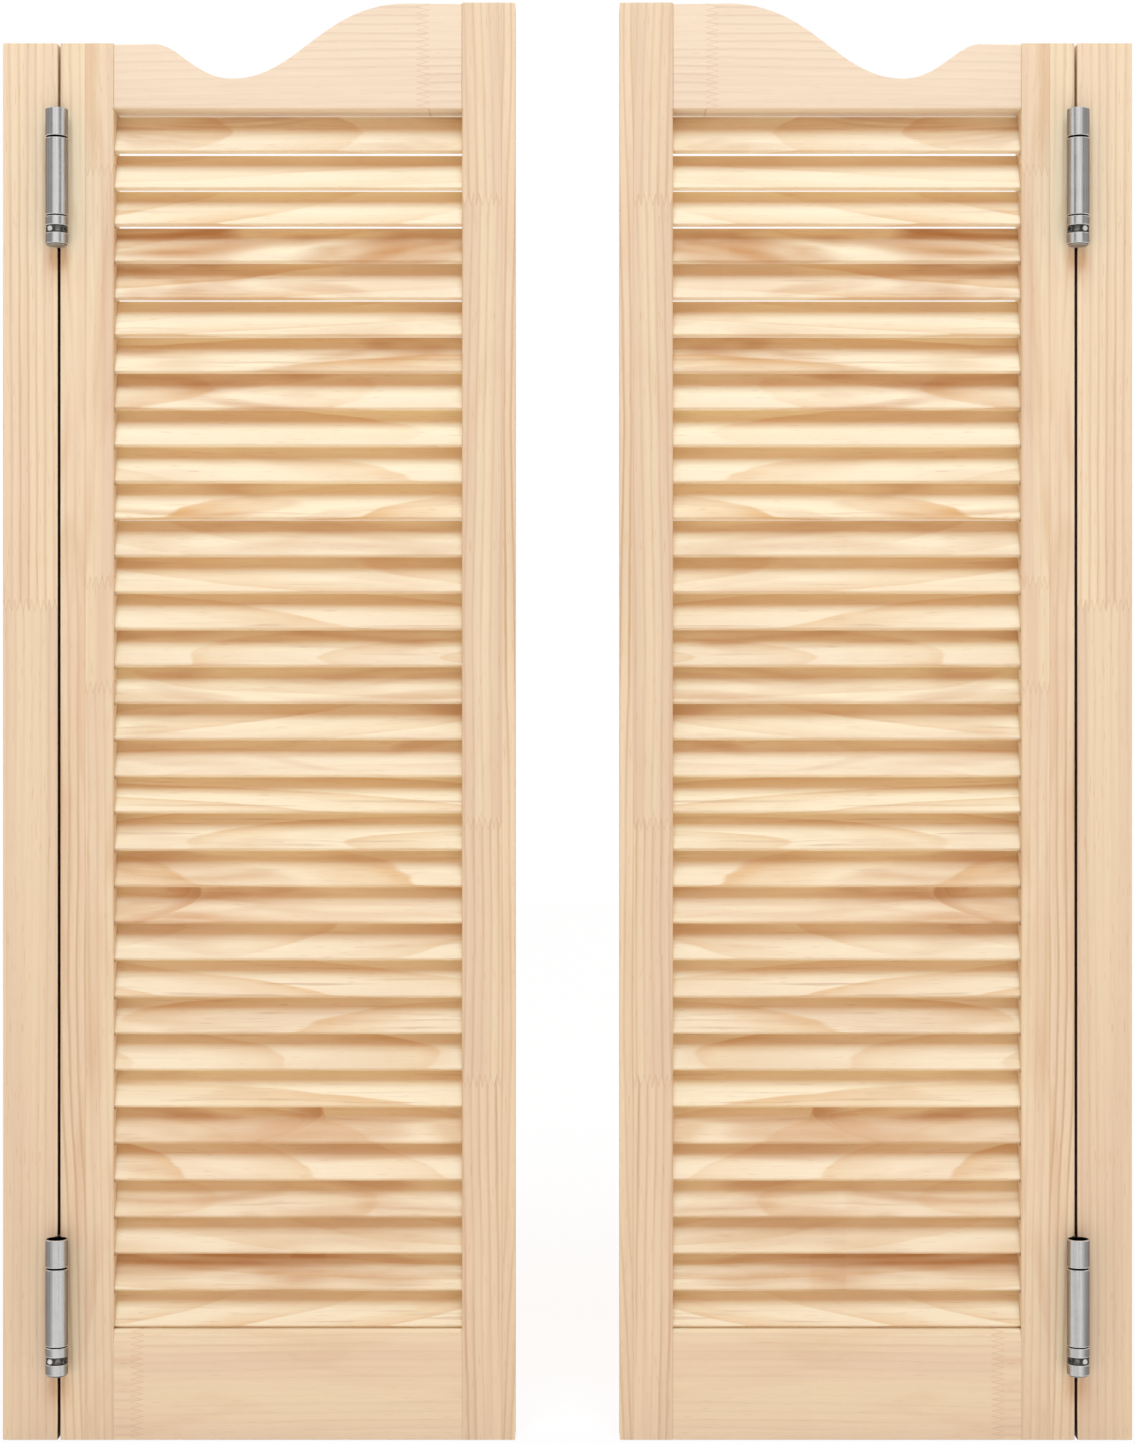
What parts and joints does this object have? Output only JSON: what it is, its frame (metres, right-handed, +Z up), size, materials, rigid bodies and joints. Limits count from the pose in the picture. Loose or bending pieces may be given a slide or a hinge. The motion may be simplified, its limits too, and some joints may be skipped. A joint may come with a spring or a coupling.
{
  "type": "pair of cafe swinging doors",
  "caption": "Pair of short louvred pine cafe doors with scalloped tops, hung on jamb strips by double-action spring hinges so that each leaf swings both ways and returns to shut.",
  "frame": {"origin": "midway between the two doors, at the level of their lower edges, in the middle of their thickness", "axes": "+X along the pair to the right, +Y from the front face to the back, +Z up"},
  "size_m": [0.838, 0.0626, 1.0668],
  "materials": {
    "pine": "clear satin over raw pine",
    "satin_steel": "satin plated",
    "dark_steel": "dark oiled",
    "spring_steel": "oil tempered"
  },
  "bodies": {
    "jambs": {"left_jamb_strip": "pine", "left_top_hinge_jamb_leaf": "satin_steel", "left_top_hinge_front_collar": "dark_steel", "left_top_hinge_front_tension_pin": "satin_steel", "left_bottom_hinge_jamb_leaf": "satin_steel", "left_bottom_hinge_front_collar": "dark_steel", "left_bottom_hinge_front_tension_pin": "satin_steel", "right_jamb_strip": "pine", "right_top_hinge_jamb_leaf": "satin_steel", "right_top_hinge_rear_collar": "dark_steel", "right_top_hinge_rear_tension_pin": "satin_steel", "right_bottom_hinge_jamb_leaf": "satin_steel", "right_bottom_hinge_rear_collar": "dark_steel", "right_bottom_hinge_rear_tension_pin": "satin_steel"},
    "left_webs": {"left_top_hinge_web": "satin_steel", "left_top_hinge_front_pivot": "satin_steel", "left_top_hinge_front_spring": "spring_steel", "left_top_hinge_rear_pivot": "satin_steel", "left_top_hinge_rear_spring": "spring_steel", "left_bottom_hinge_web": "satin_steel", "left_bottom_hinge_front_pivot": "satin_steel", "left_bottom_hinge_front_spring": "spring_steel", "left_bottom_hinge_rear_pivot": "satin_steel", "left_bottom_hinge_rear_spring": "spring_steel"},
    "left_door": {"left_hinge_stile": "pine", "left_meeting_stile": "pine", "left_top_rail": "pine", "left_bottom_rail": "pine", "left_top_hinge_door_leaf": "satin_steel", "left_top_hinge_rear_collar": "dark_steel", "left_top_hinge_rear_tension_pin": "satin_steel", "left_bottom_hinge_door_leaf": "satin_steel", "left_bottom_hinge_rear_collar": "dark_steel", "left_bottom_hinge_rear_tension_pin": "satin_steel"},
    "right_webs": {"right_top_hinge_web": "satin_steel", "right_top_hinge_front_pivot": "satin_steel", "right_top_hinge_front_spring": "spring_steel", "right_top_hinge_rear_pivot": "satin_steel", "right_top_hinge_rear_spring": "spring_steel", "right_bottom_hinge_web": "satin_steel", "right_bottom_hinge_front_pivot": "satin_steel", "right_bottom_hinge_front_spring": "spring_steel", "right_bottom_hinge_rear_pivot": "satin_steel", "right_bottom_hinge_rear_spring": "spring_steel"},
    "right_door": {"right_hinge_stile": "pine", "right_meeting_stile": "pine", "right_top_rail": "pine", "right_bottom_rail": "pine", "right_top_hinge_door_leaf": "satin_steel", "right_top_hinge_front_collar": "dark_steel", "right_top_hinge_front_tension_pin": "satin_steel", "right_bottom_hinge_door_leaf": "satin_steel", "right_bottom_hinge_front_collar": "dark_steel", "right_bottom_hinge_front_tension_pin": "satin_steel"}
  },
  "joints": [
    {"name": "left_swing_forward", "type": "hinge", "parent": "jambs", "child": "left_webs", "pos_m": [-0.37735, -0.02265, 0.5183], "axis": [0, 0, -1], "range_deg": [0, 90], "stiffness_Nm_per_rad": 1.2, "springref_deg": -34.38},
    {"name": "left_swing_back", "type": "hinge", "parent": "left_webs", "child": "left_door", "pos_m": [-0.37735, 0.02265, 0.5183], "axis": [0, 0, 1], "range_deg": [0, 90], "stiffness_Nm_per_rad": 1.2, "springref_deg": -34.38},
    {"name": "right_swing_back", "type": "hinge", "parent": "jambs", "child": "right_webs", "pos_m": [0.37735, 0.02265, 0.5183], "axis": [0, 0, -1], "range_deg": [0, 90], "stiffness_Nm_per_rad": 1.2, "springref_deg": -34.38},
    {"name": "right_swing_forward", "type": "hinge", "parent": "right_webs", "child": "right_door", "pos_m": [0.37735, -0.02265, 0.5183], "axis": [0, 0, 1], "range_deg": [0, 90], "stiffness_Nm_per_rad": 1.2, "springref_deg": -34.38}
  ]
}
